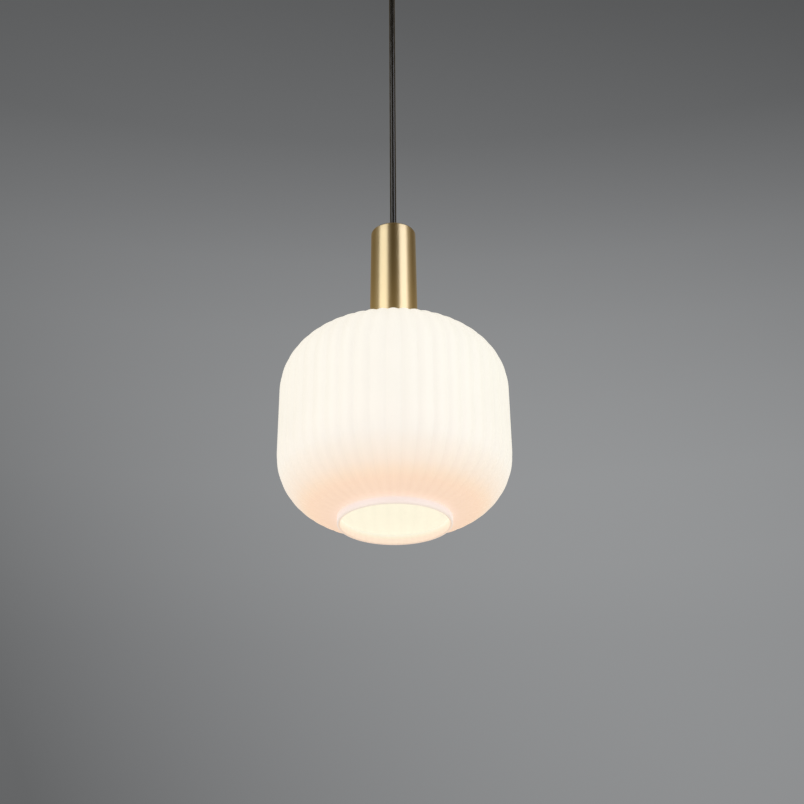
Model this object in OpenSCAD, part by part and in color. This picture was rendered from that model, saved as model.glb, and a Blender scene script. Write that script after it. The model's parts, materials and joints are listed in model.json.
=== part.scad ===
// Pendant ceiling light: a ribbed opal glass shade under a brass tube, hung on a round flex
// from a ceiling cup. Millimetres, +Z up, origin on the ceiling at the middle of the bracket.

/* [Hanging] */
// Ceiling down to the mouth of the shade
drop = 770; // [720:10:1500]
// Outside diameter of the flex
cable_d = 7.1; // [6:0.1:7.2]

/* [Shade] */
// Widest diameter of the glass
shade_d = 240; // [220:1:260]
// Height of the glass, mouth to top
shade_h = 215; // [200:1:240]
// Outside diameter of the mouth
mouth_d = 116; // [100:1:125]
// Thickness of the glass
glass_t = 3.2; // [2.5:0.1:4]
// Height of the plain collar round the mouth
collar_h = 7.5; // [5:0.5:10]
// Height above the mouth where the upright side starts
side_low = 74; // [65:1:80]
// Height above the mouth where the upright side ends
side_high = 143.5; // [130:0.5:150]

/* [Tube] */
// Outside diameter of the brass tube at its foot
tube_d = 51.6; // [51:0.1:60]
// Outside diameter of the brass tube at its top
tube_top_d = 49; // [48:0.1:60]
// Height of the brass tube
tube_h = 130; // [110:1:200]
// Wall of the brass tube
tube_t = 1; // [0.8:0.1:1.2]

/* [Canopy] */
// Outside diameter of the ceiling cup
canopy_d = 100; // [98:1:120]
// Height of the ceiling cup
canopy_h = 26; // [26:1:34]
// Wall of the ceiling cup
canopy_t = 1.2; // [1:0.1:1.5]
// Distance between the two fixing slots
slot_spacing = 52; // [48:1:56]

/* [Bulb] */
// Diameter of the bulb
bulb_d = 60; // [55:1:60]
// Length of the bulb, contact to globe
bulb_l = 107; // [100:1:112]

/* [Hidden] */
$fn = 96;
eps = 0.01;

// Levels, from the ceiling down
rim_z = -drop;
shade_top = rim_z + shade_h;
tube_top = shade_top + tube_h;

// Screw sizes: outside radii of metric threads and their clearance holes
m3_r = 1.5;
m4_r = 2;
m10_r = 5;
thread_gap = 0.05;
nut_af_m10 = 14;
nut_h_m10 = 4;
washer_t = 1;

// Ceiling bracket
strip_l = 90;
strip_w = 18;
strip_t = 2;
ear_h = 14;
slot_w = 4.6;
slot_l = 16;
side_screw_z = -10;
earth_screw_x = 10;

// Canopy
canopy_gap = 0.3;
canopy_floor = -canopy_h + canopy_t;
canopy_edge_r = 3;

// Cord grip and the pivots of the flex
grip_r = 8.5;
grip_low = -canopy_h - 14;
grip_bore_r = cable_d / 2 + 0.05;
grip_screw_z = grip_low + 10;
pivot_z = grip_low + 4;
neck_l = 12;
neck_end_z = pivot_z - neck_l;
socket_r = cable_d / 2 + 0.1;
tail_top = canopy_floor + 9;

// Terminal block in the cup
block_w = 30;
block_d = 16;
block_h = 14;
block_y = 13;
way_spacing = 10;
sleeve_r = 2.6;
sleeve_z = canopy_floor + 6;
way_x = [-way_spacing, 0, way_spacing];

// Roof of the tube, with its collar nut and bush
tube_roof_t = 1.5;
rod_top = tube_top + 2.5;
collar_nut_r = 8;
collar_nut_h = 4;
bush_flange_h = 1;
bush_bore_r = cable_d / 2 + 0.1;
flex_end_z = tube_top + collar_nut_h + bush_flange_h;

// The free flex falls straight; its points stretch with the drop
CABLE_POINTS = [
    [0, 0, -48], [0, 0, -60], [0, 0, -80], [0, 0, -100], [0, 0, -120],
    [0, 0, -140], [0, 0, -160], [0, 0, -180], [0, 0, -200], [0, 0, -220],
    [0, 0, -240], [0, 0, -260], [0, 0, -280], [0, 0, -300], [0, 0, -320],
    [0, 0, -340], [0, 0, -360], [0, 0, -380], [0, 0, -400], [0, 0, -420]
];
cable_start = CABLE_POINTS[0];
cable_stretch = (flex_end_z - neck_end_z) / (CABLE_POINTS[len(CABLE_POINTS) - 1].z - cable_start.z);
CABLE_ROUTE = [for (p = CABLE_POINTS)
    [p.x, p.y, neck_end_z + (p.z - cable_start.z) * cable_stretch]];

// Lampholder, measured from the top of the shade
gasket_t = 1;
skirt_r = 20;
skirt_low = shade_top - 17;
skirt_lip_r = 14.6;
skirt_bore_r = 15;
insert_r = 16.5;
flange_r = 22.8;
flange_h = 3;
flange_z = shade_top + gasket_t;
body_r = 20.5;
body_top = shade_top + 16;
shoulder_z = shade_top + 8.6;
shell_r = 14.4;
shell_t = 0.7;
shell_low = shade_top - 12;
shell_hole_r = 6;
contact_x = 9;
contact_t = 0.5;
terminal_z = body_top + contact_t;
terminal_size = [8, 6, 7];
terminal_hole_r = 1.3;
cap_r = 23;
cap_bore_r = body_r + 0.3;
cap_low = flange_z + flange_h + 0.2;
cap_top = shade_top + 40;
cap_roof_t = 4;
cap_neck_r = 8.5;
cap_neck_h = 10;
tag_t = 0.8;
rod_low = cap_top - cap_roof_t - tag_t - 3.7;
rod_bore_r = 3.7;
sheath_low = rod_low - 2.5;
lead_d = 2.4;

// Shade seat: the glass top, its hole and the ring under it
seat_r = 27;
hole_r = skirt_r + 0.7;
ring_r = 28.5;
ring_h = 7;
ring_top = shade_top - glass_t - gasket_t;

// Curve of the glass: squareness of its lower and upper bends, draw of its side,
// and how far inside the mouth the lower bend springs from
n_low = 2.04;
n_top = 2.14;
side_taper = 0.5;
foot_inset = 8;

// Bulb, measured down from its contact
bulb_top = shade_top + 6.5;
tip_h = 1.5;
tip_r = 4.8;
insulator_h = 3.5;
insulator_r = 11.5;
bulb_cap_r = 13.2;
bulb_cap_low = bulb_top - 27;
bulb_skirt_r = 13.6;
bulb_skirt_h = 3;
bulb_wall = 1.2;
globe_h = 30;
globe_z = bulb_top - bulb_l + globe_h;

// ---- Helpers ----

function unit(v) = v / norm(v);

// A point on the smooth curve through the route, between its points i and i + 1
function curve_point(p, i, t) =
    let (a = p[max(i - 1, 0)], b = p[i], c = p[i + 1], d = p[min(i + 2, len(p) - 1)])
    0.5 * (2 * b + (c - a) * t + (2 * a - 5 * b + 4 * c - d) * t * t
        + (3 * b - a - 3 * c + d) * t * t * t);

function smooth_route(p, steps) = concat(
    [for (i = [0:len(p) - 2]) for (s = [0:steps - 1]) curve_point(p, i, s / steps)],
    [p[len(p) - 1]]
);

function tangent(p, i) = unit(p[min(i + 1, len(p) - 1)] - p[max(i - 1, 0)]);

// One ring of points round the route at its point i; side is a direction that the
// route never runs along
function ring_points(p, i, r, sides, side) =
    let (t = tangent(p, i), u = unit(cross(side, t)), v = cross(t, u))
    [for (k = [0:sides - 1]) p[i] + r * (cos(360 * k / sides) * u + sin(360 * k / sides) * v)];

// Round tube of diameter d swept along a route
module swept_tube(p, d, sides = 8, side = [1, 0, 0]) {
    n = len(p);
    points = [for (i = [0:n - 1]) each ring_points(p, i, d / 2, sides, side)];
    walls = [for (i = [0:n - 2]) for (k = [0:sides - 1])
        let (a = i * sides + k, b = i * sides + (k + 1) % sides)
        each [[a, a + sides, b + sides], [a, b + sides, b]]];
    start = [for (k = [0:sides - 1]) k];
    end = [for (k = [sides - 1:-1:0]) (n - 1) * sides + k];
    polyhedron(points, concat(walls, [start, end]));
}

// Cylinder between two heights
module post(r, z0, z1) {
    translate([0, 0, z0])
        cylinder(h = z1 - z0, r = r);
}

// Ring between two heights
module ring(r_out, r_in, z0, z1) {
    difference() {
        post(r_out, z0, z1);
        post(r_in, z0 - 1, z1 + 1);
    }
}

// Hexagon nut between two heights
module hex_nut(across_flats, bore_r, z0, z1) {
    difference() {
        translate([0, 0, z0])
            cylinder(h = z1 - z0, d = across_flats / cos(30), $fn = 6);
        post(bore_r, z0 - 1, z1 + 1);
    }
}

// Screw hanging head down from the origin, with a slot across the head
module slotted_screw(shank_r, shank_l, head_r, head_h) {
    difference() {
        union() {
            cylinder(h = shank_l, r = shank_r);
            translate([0, 0, -head_h])
                cylinder(h = head_h, r = head_r);
        }
        translate([-head_r, -0.4, -head_h - 1])
            cube([2 * head_r, 0.8, 1 + head_h / 3]);
    }
}

// Slot with round ends, along X, cut from z0 to z1
module slot_cut(x, length, width, z0, z1) {
    straight = length - width;
    for (side = [-1, 1])
        translate([x + side * straight / 2, 0, 0])
            post(width / 2, z0, z1);
    translate([x - straight / 2, -width / 2, z0])
        cube([straight, width, z1 - z0]);
}

// ---- Ceiling side ----

module ceiling_bracket() {
    color("silver")
    difference() {
        union() {
            translate([-strip_l / 2, -strip_w / 2, -strip_t])
                cube([strip_l, strip_w, strip_t]);
            for (side = [-1, 1])
                translate([side * (strip_l - strip_t) / 2 - strip_t / 2, -strip_w / 2, -ear_h - strip_t])
                    cube([strip_t, strip_w, ear_h + strip_t]);
        }
        for (side = [-1, 1])
            slot_cut(side * slot_spacing / 2, slot_l, slot_w, -strip_t - 1, 1);
        translate([-strip_l, 0, side_screw_z])
            rotate([0, 90, 0])
                cylinder(h = 2 * strip_l, r = m4_r + thread_gap);
        translate([earth_screw_x, 0, 0])
            post(m4_r + thread_gap, -strip_t - 1, 1);
    }
}

// The two thumb screws that hold the cup to the bracket's ears
module canopy_screws() {
    head_x = canopy_d / 2 + 0.2;
    shank_l = head_x - strip_l / 2 + strip_t + 3;
    color("#c9a860")
    for (side = [0, 180])
        rotate([0, 0, side])
            translate([head_x, 0, side_screw_z])
                rotate([0, -90, 0])
                    slotted_screw(m4_r, shank_l, 4, 3);
}

module earth_screw() {
    color("#d8b25a")
    translate([earth_screw_x, 0, -strip_t - washer_t])
        slotted_screw(m4_r, strip_t + 0.5, 3.6, 2.4);
}

module earth_washer() {
    color("silver")
    translate([earth_screw_x, 0, 0])
        ring(4.5, m4_r + thread_gap, -strip_t - washer_t, -strip_t);
}

// Ceiling cup, open at the top, with open notches that slip over the side screws
module canopy() {
    r = canopy_d / 2;
    e = canopy_edge_r;
    arc = [for (a = [0:15:90]) [r - e + e * cos(a), -canopy_h + e - e * sin(a)]];
    inner_arc = [for (a = [90:-15:0])
        [r - e + (e - canopy_t) * cos(a), -canopy_h + e - (e - canopy_t) * sin(a)]];
    color("#c9a24e")
    difference() {
        rotate_extrude()
            polygon(concat(
                [[r, -canopy_gap]],
                arc,
                [[0, -canopy_h], [0, canopy_floor]],
                inner_arc,
                [[r - canopy_t, -canopy_gap]]
            ));
        post(m10_r + thread_gap, -canopy_h - 1, 0);
        translate([-canopy_d, 0, side_screw_z])
            rotate([0, 90, 0])
                cylinder(h = 2 * canopy_d, r = m4_r + 0.4);
        translate([-canopy_d, -m4_r - 0.4, side_screw_z])
            cube([2 * canopy_d, 2 * (m4_r + 0.4), 20]);
    }
}

// Cord grip: a threaded stem through the cup and a collar with a bell mouth under it
module cord_grip() {
    stem_top = canopy_floor + 7;
    mouth_r = 7;
    flare_top = pivot_z + 3;
    e = 1.2;
    color("#1c1c1e")
    difference() {
        rotate_extrude()
            polygon(concat(
                [
                    [grip_bore_r, stem_top],
                    [m10_r, stem_top],
                    [m10_r, -canopy_h],
                    [grip_r, -canopy_h],
                ],
                [for (a = [0:15:90]) [grip_r - e + e * cos(a), grip_low + e - e * sin(a)]],
                [for (a = [0:10:90])
                    [mouth_r - (mouth_r - grip_bore_r) * sin(a), flare_top - (flare_top - grip_low) * cos(a)]]
            ));
        translate([0, 0, grip_screw_z])
            rotate([0, 90, 0])
                cylinder(h = 2 * grip_r, r = m3_r + thread_gap);
    }
}

module cord_grip_nut() {
    color("#c9a24e")
    hex_nut(nut_af_m10, m10_r + thread_gap, canopy_floor, canopy_floor + nut_h_m10);
}

// Grub screw that pinches the flex in the grip
module cord_grip_screw() {
    color("#303034")
    difference() {
        translate([grip_bore_r, 0, grip_screw_z])
            rotate([0, 90, 0])
                cylinder(h = grip_r - grip_bore_r - 0.6, r = m3_r);
        translate([grip_r - 1.8, -2, grip_screw_z - 0.3])
            cube([2, 4, 0.6]);
    }
}

// The end of the flex inside the cup, hollowed where the neck turns in it
module cable_tail() {
    color("#161618")
    difference() {
        post(cable_d / 2, pivot_z + 0.9, tail_top);
        translate([0, 0, pivot_z])
            sphere(r = socket_r);
    }
}

// ---- Terminal block in the cup: three ways ----

module terminal_block() {
    color("#eeeae0")
    difference() {
        union() {
            translate([-block_w / 2, block_y, canopy_floor])
                cube([block_w, block_d, block_h - 4]);
            for (x = way_x)
                translate([x - 3.5, block_y + 1, canopy_floor + block_h - 4 - eps])
                    cube([7, block_d - 2, 4 + eps]);
        }
        for (x = way_x) {
            translate([x, block_y - 1, sleeve_z])
                rotate([-90, 0, 0])
                    cylinder(h = block_d + 2, r = sleeve_r + thread_gap);
            for (y = [4, block_d - 4])
                translate([x, block_y + y, 0])
                    post(m3_r + 0.6, sleeve_z, 0);
        }
    }
}

module terminal_sleeves() {
    color("#c9a24e")
    for (x = way_x)
        difference() {
            translate([x, block_y + 1, sleeve_z])
                rotate([-90, 0, 0])
                    cylinder(h = block_d - 2, r = sleeve_r);
            translate([x, block_y, sleeve_z])
                rotate([-90, 0, 0])
                    cylinder(h = block_d, r = lead_d / 2 + 0.1);
            for (y = [4, block_d - 4])
                translate([x, block_y + y, 0])
                    post(m3_r + thread_gap, sleeve_z, 0);
        }
}

module terminal_screws() {
    screw_low = sleeve_z + lead_d / 2 + 0.2;
    screw_top = canopy_floor + block_h - 1;
    color("silver")
    for (x = way_x)
        for (y = [4, block_d - 4])
            translate([x, block_y + y, 0])
                difference() {
                    post(m3_r, screw_low, screw_top);
                    translate([-m3_r, -0.3, screw_top - 0.8])
                        cube([2 * m3_r, 0.6, 2]);
                }
}

// The three cores, from the end of the flex into the block
module cup_core(x0, y0, x1) {
    route = [
        [x0, y0, tail_top - 1],
        [x0 * 1.6, y0 + 1, tail_top + 2],
        [(x0 + x1) / 2, y0 + 4, tail_top + 2.5],
        [x1, block_y - 3, sleeve_z + 1],
        [x1, block_y - 0.5, sleeve_z],
        [x1, block_y + 2, sleeve_z],
        [x1, block_y + 7, sleeve_z]
    ];
    swept_tube(smooth_route(route, 4), lead_d);
}

module live_tail() {
    color("#6b3f22")
    cup_core(-1.3, 0.4, -way_spacing);
}

module neutral_tail() {
    color("#2f62b0")
    cup_core(1.3, 0.4, way_spacing);
}

module earth_tail() {
    color("#7fae2e")
    swept_tube(smooth_route([
        [0, -1.8, tail_top - 1],
        [0, -1.4, tail_top + 3],
        [0, 3, tail_top + 5],
        [0, 7.5, tail_top + 1],
        [0, block_y - 3, sleeve_z + 1],
        [0, block_y - 0.5, sleeve_z],
        [0, block_y + 2, sleeve_z],
        [0, block_y + 7, sleeve_z]
    ], 4), lead_d);
}

// ---- The flex ----

// Short stretch below the grip: round at its top, hollowed at its foot for the next one
module cable_neck() {
    color("#161618")
    difference() {
        union() {
            post(cable_d / 2, neck_end_z + 0.9, pivot_z);
            translate([0, 0, pivot_z])
                sphere(r = cable_d / 2);
        }
        translate([0, 0, neck_end_z])
            sphere(r = socket_r);
    }
}

module cable() {
    color("#161618")
    union() {
        swept_tube(CABLE_ROUTE, cable_d, 12);
        translate([0, 0, neck_end_z])
            sphere(r = cable_d / 2 - 0.1);
    }
}

// ---- Tube and what hangs in it ----

module tube_cover() {
    r = tube_d / 2;
    top_r = tube_top_d / 2;
    low = shade_top + 0.3;
    e = 1;
    color("#d2ab55")
    difference() {
        rotate_extrude()
            polygon(concat(
                [[r - tube_t, low], [r, low]],
                [for (a = [0:15:90]) [top_r - e + e * cos(a), tube_top - e + e * sin(a)]],
                [[0, tube_top], [0, tube_top - tube_roof_t], [top_r - tube_t, tube_top - tube_roof_t]]
            ));
        post(m10_r + thread_gap, tube_top - 5, tube_top + 1);
    }
}

module collar_nut() {
    r = collar_nut_r;
    top = tube_top + collar_nut_h;
    color("#d2ab55")
    rotate_extrude()
        polygon([
            [m10_r + thread_gap, tube_top],
            [r, tube_top],
            [r, top - 0.8],
            [r - 0.8, top],
            [m10_r + thread_gap, top]
        ]);
}

module cable_bush() {
    top = tube_top + collar_nut_h;
    flange = 6.2;
    color("#1c1c1e")
    rotate_extrude()
        polygon([
            [bush_bore_r, rod_top],
            [m10_r, rod_top],
            [m10_r, top],
            [flange, top],
            [flange, top + 0.4],
            [flange - 0.6, flex_end_z],
            [bush_bore_r, flex_end_z]
        ]);
}

module hollow_rod() {
    color("#b9b9bb")
    ring(m10_r, rod_bore_r, rod_low, rod_top);
}

module rod_washer() {
    roof = tube_top - tube_roof_t;
    color("silver")
    ring(9.5, m10_r + thread_gap, roof - washer_t, roof);
}

module rod_nut() {
    top = tube_top - tube_roof_t - washer_t;
    color("silver")
    hex_nut(nut_af_m10, m10_r + thread_gap, top - nut_h_m10, top);
}

// Sheathed flex down the rod
module lamp_cable() {
    color("#161618")
    post(cable_d / 2, sheath_low, flex_end_z);
}

module holder_cap() {
    roof = cap_top - cap_roof_t;
    color("#202022")
    difference() {
        rotate_extrude()
            polygon([
                [cap_bore_r, cap_low],
                [cap_r, cap_low],
                [cap_r, cap_top - 6],
                [cap_r - 6, cap_top],
                [cap_neck_r, cap_top],
                [cap_neck_r, cap_top + cap_neck_h],
                [m10_r + thread_gap, cap_top + cap_neck_h],
                [m10_r + thread_gap, roof],
                [cap_bore_r - 5, roof],
                [cap_bore_r, roof - 5]
            ]);
        translate([0, 0, cap_top + cap_neck_h / 2])
            rotate([0, 90, 0])
                cylinder(h = 2 * cap_neck_r, r = m3_r + thread_gap);
    }
}

// Grub screw that stops the cap turning on the rod
module holder_cap_screw() {
    color("silver")
    translate([m10_r + 0.1, 0, cap_top + cap_neck_h / 2])
        rotate([0, 90, 0])
            cylinder(h = 5, r = m3_r);
}

module holder_cap_nut() {
    color("silver")
    hex_nut(nut_af_m10, m10_r + thread_gap, rod_low + 0.5, cap_top - cap_roof_t - tag_t);
}

// Earth tag clamped under the roof of the cap, with a tail for the core
module earth_tag() {
    top = cap_top - cap_roof_t;
    color("#c9a24e")
    difference() {
        union() {
            post(8.5, top - tag_t, top);
            translate([-2.5, 0, top - tag_t])
                cube([5, 14, tag_t]);
        }
        post(m10_r + thread_gap, top - 2, top + 1);
    }
}

// The cores in the cap; side = -1 or 1 picks the terminal
module holder_core(side) {
    z = terminal_z + terminal_size.z / 2;
    route = [
        [side * 1.3, 0, sheath_low + 1],
        [side * 3.5, side * 2.5, sheath_low - 1.5],
        [side * 7.5, side * 8, sheath_low - 2.5],
        [side * 9.5, side * 11, z + 2.5],
        [side * contact_x, side * 8.5, z],
        [side * contact_x, side * 5, z],
        [side * contact_x, side * 1.5, z]
    ];
    swept_tube(smooth_route(route, 4), lead_d, side = [0.3, -side, 0.1]);
}

module live_lead() {
    color("#6b3f22")
    holder_core(-1);
}

module neutral_lead() {
    color("#2f62b0")
    holder_core(1);
}

module earth_lead() {
    tag_z = cap_top - cap_roof_t - tag_t;
    color("#7fae2e")
    swept_tube(smooth_route([
        [0, 2.1, sheath_low + 1],
        [0, 4.5, sheath_low - 1.5],
        [0, 9, sheath_low - 1],
        [0, 12, sheath_low + 2],
        [0, 12, tag_z - 0.1]
    ], 4), lead_d);
}

// Moulded body: threaded skirt for the ring, flange, and the collar that the cap screws on
module holder_body() {
    color("#26262a")
    rotate_extrude()
        polygon([
            [skirt_lip_r, skirt_low],
            [skirt_r - 1, skirt_low],
            [skirt_r, skirt_low + 1],
            [skirt_r, flange_z],
            [flange_r, flange_z],
            [flange_r, flange_z + flange_h],
            [body_r, flange_z + flange_h],
            [body_r, body_top],
            [insert_r + 0.3, body_top],
            [insert_r + 0.3, shoulder_z],
            [skirt_bore_r, shoulder_z],
            [skirt_bore_r, skirt_low + 2],
            [skirt_lip_r, skirt_low + 2]
        ]);
}

// Porcelain insert that carries the contacts
module holder_insert() {
    color("#f0ede6")
    difference() {
        post(insert_r, shoulder_z, body_top);
        post(m3_r + thread_gap, shoulder_z - 1, body_top + 1);
        translate([contact_x, 0, 0])
            post(m3_r + thread_gap, shoulder_z - 1, body_top + 1);
    }
}

module screw_shell() {
    color("#cfae62")
    difference() {
        post(shell_r, shell_low, shoulder_z);
        post(shell_r - shell_t, shell_low - 1, shoulder_z - shell_t);
        post(shell_hole_r, shell_low, shoulder_z + 1);
        translate([contact_x, 0, 0])
            post(m3_r + thread_gap, shoulder_z - 2, shoulder_z + 1);
    }
}

// Flat strip on top of the insert from x0 to x1
module contact_strip(x0, x1) {
    translate([x0, -2.5, body_top])
        cube([x1 - x0, 5, contact_t]);
}

module centre_contact() {
    tongue_t = 0.5;
    color("#c98f4e")
    union() {
        post(1.8, bulb_top, bulb_top + 0.8 + eps);
        translate([-5, -2.2, bulb_top + 0.8])
            cube([10, 4.4, tongue_t]);
        post(m3_r, bulb_top + 0.8, body_top + eps);
        contact_strip(-contact_x - 4, m3_r);
    }
}

module shell_contact() {
    color("#c98f4e")
    union() {
        translate([contact_x, 0, 0]) {
            post(2.4, shoulder_z - shell_t - 0.7, shoulder_z - shell_t);
            post(m3_r, shoulder_z - shell_t - eps, body_top + eps);
        }
        contact_strip(contact_x - 4, contact_x + 4);
    }
}

module holder_terminals() {
    s = terminal_size;
    color("#cfae62")
    for (side = [-1, 1])
        difference() {
            translate([side * contact_x - s.x / 2, -s.y / 2, terminal_z])
                cube(s);
            translate([side * contact_x, -s.y, terminal_z + s.z / 2])
                rotate([-90, 0, 0])
                    cylinder(h = 2 * s.y, r = terminal_hole_r);
            translate([side * contact_x, 0, 0])
                post(m3_r + thread_gap, terminal_z + s.z / 2, terminal_z + s.z + 1);
        }
}

module holder_terminal_screws() {
    color("silver")
    for (side = [-1, 1])
        translate([side * contact_x, 0, terminal_z + terminal_size.z])
            mirror([0, 0, 1])
                slotted_screw(m3_r, terminal_size.z / 2 - terminal_hole_r - 0.1, 2.5, 1.8);
}

module upper_gasket() {
    color("#e6e6e2")
    ring(tube_d / 2 - tube_t - 0.3, skirt_r + 0.3, shade_top, flange_z);
}

// ---- Shade ----

// A quarter of a rounded square between the angles 0 and 90: foot is its lower inner
// corner, span its half widths, n its squareness
function quarter(foot, span, n, a0, a1, steps) =
    [for (i = [0:steps]) let (a = a0 + (a1 - a0) * i / steps)
        [foot[0] + span[0] * pow(cos(a), 2 / n), foot[1] + span[1] * pow(sin(a), 2 / n)]];

// One side of the glass from the mouth up to the seat, t inside the outer surface
function glass_outline(t) =
    let (
        widest = shade_d / 2,
        foot_r = mouth_d / 2 - foot_inset,
        low_span = [widest - foot_r - t, -(side_low - collar_h - t)],
        top_span = [widest - side_taper - t - seat_r, shade_h - side_high - t],
        mouth_angle = acos(pow((mouth_d / 2 - t - foot_r) / low_span[0], n_low / 2))
    )
    concat(
        quarter([foot_r, rim_z + side_low], low_span, n_low, mouth_angle, 0, 22),
        quarter([seat_r, rim_z + side_high], top_span, n_top, 0, 90, 22)
    );

function reversed(p) = [for (i = [len(p) - 1:-1:0]) p[i]];

// Blown glass jar: plain collar at the mouth, flat seat with a hole at the top
module shade_glass() {
    lip = glass_t / 2;
    lip_arc = [for (a = [180:-20:0])
        [mouth_d / 2 - lip - lip * cos(a), rim_z + lip - lip * sin(a)]];
    color("#fbf4ea")
    rotate_extrude($fn = 144)
        polygon(concat(
            lip_arc,
            glass_outline(glass_t),
            [[hole_r, shade_top - glass_t], [hole_r, shade_top]],
            reversed(glass_outline(0))
        ));
}

module lower_gasket() {
    color("#e6e6e2")
    ring(seat_r, hole_r, ring_top, ring_top + gasket_t);
}

// Ring nut that clamps the glass, with finger grooves round its edge
module shade_ring() {
    grooves = 24;
    color("#f2efe8")
    difference() {
        rotate_extrude()
            polygon([
                [skirt_r + 0.3, ring_top],
                [ring_r, ring_top],
                [ring_r, ring_top - 3],
                [ring_r - 3, ring_top - ring_h],
                [skirt_r + 0.3, ring_top - ring_h]
            ]);
        for (a = [0:360 / grooves:359])
            rotate([0, 0, a])
                translate([ring_r + 0.3, 0, 0])
                    post(1.2, ring_top - ring_h - 1, ring_top + 1);
    }
}

// ---- Bulb ----

module bulb_contact() {
    z = bulb_top - tip_h;
    color("#b8b8b8")
    rotate_extrude()
        polygon([[0, z], [tip_r, z], [tip_r - 0.3, z + 0.8], [2.5, bulb_top], [0, bulb_top]]);
}

module bulb_insulator() {
    top = bulb_top - tip_h;
    low = top - insulator_h;
    color("#1d1d20")
    rotate_extrude()
        polygon([[0, low], [insulator_r, low], [tip_r + 0.5, top], [0, top]]);
}

module bulb_cap() {
    top = bulb_top - tip_h - insulator_h;
    color("#c9cacc")
    difference() {
        union() {
            post(bulb_cap_r, bulb_cap_low, top);
            post(bulb_skirt_r, bulb_cap_low, bulb_cap_low + bulb_skirt_h);
        }
        post(bulb_cap_r - 0.6, bulb_cap_low - 1, top - 0.6);
    }
}

module bulb_body() {
    steps = 12;
    r = bulb_d / 2 - 0.6;
    neck_h = bulb_cap_low - globe_z;
    wire_hole_r = 9;
    outer = [for (i = [0:steps]) let (t = i / steps)
        [bulb_skirt_r + (r - bulb_skirt_r) * pow(sin(90 * t), 1.3), bulb_cap_low - neck_h * t]];
    color("#f4f3f0")
    rotate_extrude()
        polygon(concat(
            [[wire_hole_r, bulb_cap_low]],
            outer,
            [for (i = [steps:-1:1]) outer[i] - [bulb_wall, 0]],
            [[wire_hole_r, outer[1][1]]]
        ));
}

module bulb_globe() {
    r = bulb_d / 2;
    outer = [for (a = [0:7.5:90]) [r * cos(a), globe_z - globe_h * sin(a)]];
    color("#fffdf8")
    rotate_extrude()
        polygon(concat(
            outer,
            [for (a = [90:-7.5:0])
                [(r - bulb_wall) * cos(a), globe_z - (globe_h - bulb_wall) * sin(a)]]
        ));
}

module bulb_board() {
    color("#d7d9da")
    post(bulb_d / 2 - 3, globe_z, globe_z + 1.6);
}

module bulb_leds() {
    count = 12;
    color("#f6d860")
    for (i = [0:count - 1])
        rotate([0, 0, i * 360 / count])
            translate([17, -1.5, globe_z - 0.8])
                cube([3, 3, 0.8]);
}

module bulb_driver() {
    color("#2f7a4a")
    translate([-9, -0.8, globe_z + 1.6])
        cube([18, 1.6, 26]);
}

ceiling_bracket();
canopy_screws();
earth_screw();
earth_washer();
canopy();
cord_grip();
cord_grip_nut();
cord_grip_screw();
cable_tail();
terminal_block();
terminal_sleeves();
terminal_screws();
live_tail();
neutral_tail();
earth_tail();
cable_neck();
cable();
tube_cover();
collar_nut();
cable_bush();
hollow_rod();
rod_washer();
rod_nut();
lamp_cable();
holder_cap();
holder_cap_screw();
holder_cap_nut();
earth_tag();
live_lead();
neutral_lead();
earth_lead();
holder_body();
holder_insert();
screw_shell();
centre_contact();
shell_contact();
holder_terminals();
holder_terminal_screws();
upper_gasket();
shade_glass();
lower_gasket();
shade_ring();
bulb_contact();
bulb_insulator();
bulb_cap();
bulb_body();
bulb_globe();
bulb_board();
bulb_leds();
bulb_driver();
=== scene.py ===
"""Pendant ceiling light: ribbed opal glass, brass tube, black flex and ceiling cup.

Every length is in metres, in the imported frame: +Z up, the ceiling at z = 0.
"""
import json
import math

import bmesh
import bpy
import numpy as np
from mathutils import Matrix, Vector


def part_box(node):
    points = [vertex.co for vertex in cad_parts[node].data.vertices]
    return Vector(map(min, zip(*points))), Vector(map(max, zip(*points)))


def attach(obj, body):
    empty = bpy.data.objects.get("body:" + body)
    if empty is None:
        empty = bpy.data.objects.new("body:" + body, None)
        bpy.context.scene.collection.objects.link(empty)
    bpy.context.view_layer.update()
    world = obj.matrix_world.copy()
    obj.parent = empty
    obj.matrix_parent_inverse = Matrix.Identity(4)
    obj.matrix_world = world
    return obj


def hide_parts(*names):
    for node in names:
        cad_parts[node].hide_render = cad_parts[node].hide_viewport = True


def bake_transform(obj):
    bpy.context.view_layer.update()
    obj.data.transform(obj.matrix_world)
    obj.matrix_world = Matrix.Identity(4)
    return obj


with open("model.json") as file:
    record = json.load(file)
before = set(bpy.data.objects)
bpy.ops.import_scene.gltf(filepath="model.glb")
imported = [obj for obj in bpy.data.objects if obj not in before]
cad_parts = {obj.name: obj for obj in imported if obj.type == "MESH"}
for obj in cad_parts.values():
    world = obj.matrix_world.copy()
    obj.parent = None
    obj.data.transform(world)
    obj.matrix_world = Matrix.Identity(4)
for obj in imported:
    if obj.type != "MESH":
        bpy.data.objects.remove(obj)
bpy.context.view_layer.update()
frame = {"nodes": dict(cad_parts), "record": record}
nodes = frame["nodes"]

MM = 0.001
TURN = 2 * math.pi
SHARP_ANGLE = math.radians(38)

shade_low, shade_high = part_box("shade_glass")
tube_low, tube_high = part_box("tube_cover")
MOUTH_Z = shade_low.z
SHADE_TOP = shade_high.z


# ---- Camera and floor ----

CAMERA_DISTANCE = 1.400
CAMERA_PITCH = math.radians(26.5)
CAMERA_ROLL = math.radians(-0.50)
CAMERA_LENS = 60.13
CAMERA_ASIDE = 0.00805
AIM_ABOVE_MOUTH = 0.137


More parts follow.
